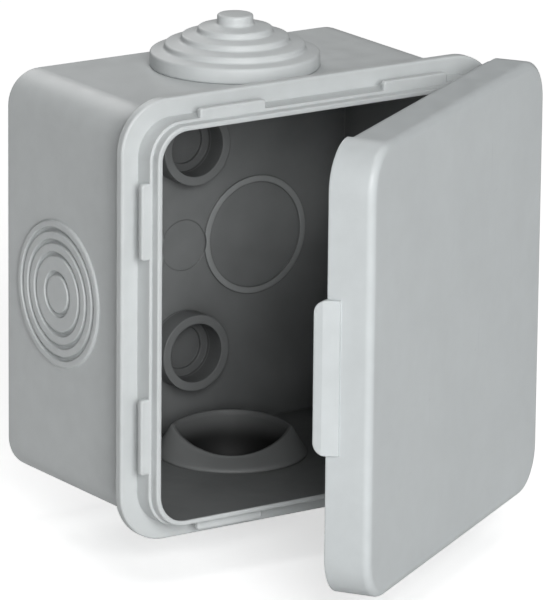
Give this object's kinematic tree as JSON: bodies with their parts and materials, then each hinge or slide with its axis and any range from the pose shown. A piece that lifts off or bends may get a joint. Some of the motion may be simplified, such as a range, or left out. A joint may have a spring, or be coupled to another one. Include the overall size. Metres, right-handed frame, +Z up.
{
  "type": "electrical junction box",
  "caption": "Square surface-mounted cable junction box with a hinged snap lid, stepped cable glands and side break-outs.",
  "frame": {"origin": "centre of the flat back face, on the wall", "axes": "+Y into the wall, +Z up, +X to the right as seen from the front"},
  "size_m": [0.074, 0.0818, 0.0816],
  "materials": {
    "housing_plastic": "fine moulded matt, light grey",
    "lid_plastic": "fine moulded satin, light grey",
    "gland_rubber": "soft satin, light grey",
    "seal_foam": "matt dark grey",
    "pin_plastic": "smooth light grey"
  },
  "bodies": {
    "root": {"housing": "housing_plastic", "upper_gland": "gland_rubber", "lower_gland": "gland_rubber", "upper_hinge_pin": "pin_plastic", "lower_hinge_pin": "pin_plastic"},
    "lid": {"lid": "lid_plastic", "lid_seal": "seal_foam"}
  },
  "joints": [
    {"name": "lid_hinge", "type": "hinge", "parent": "root", "child": "lid", "pos_m": [0.0362, -0.0374, 0], "axis": [0, 0, 1], "range_deg": [-32.7, 117.3]}
  ]
}
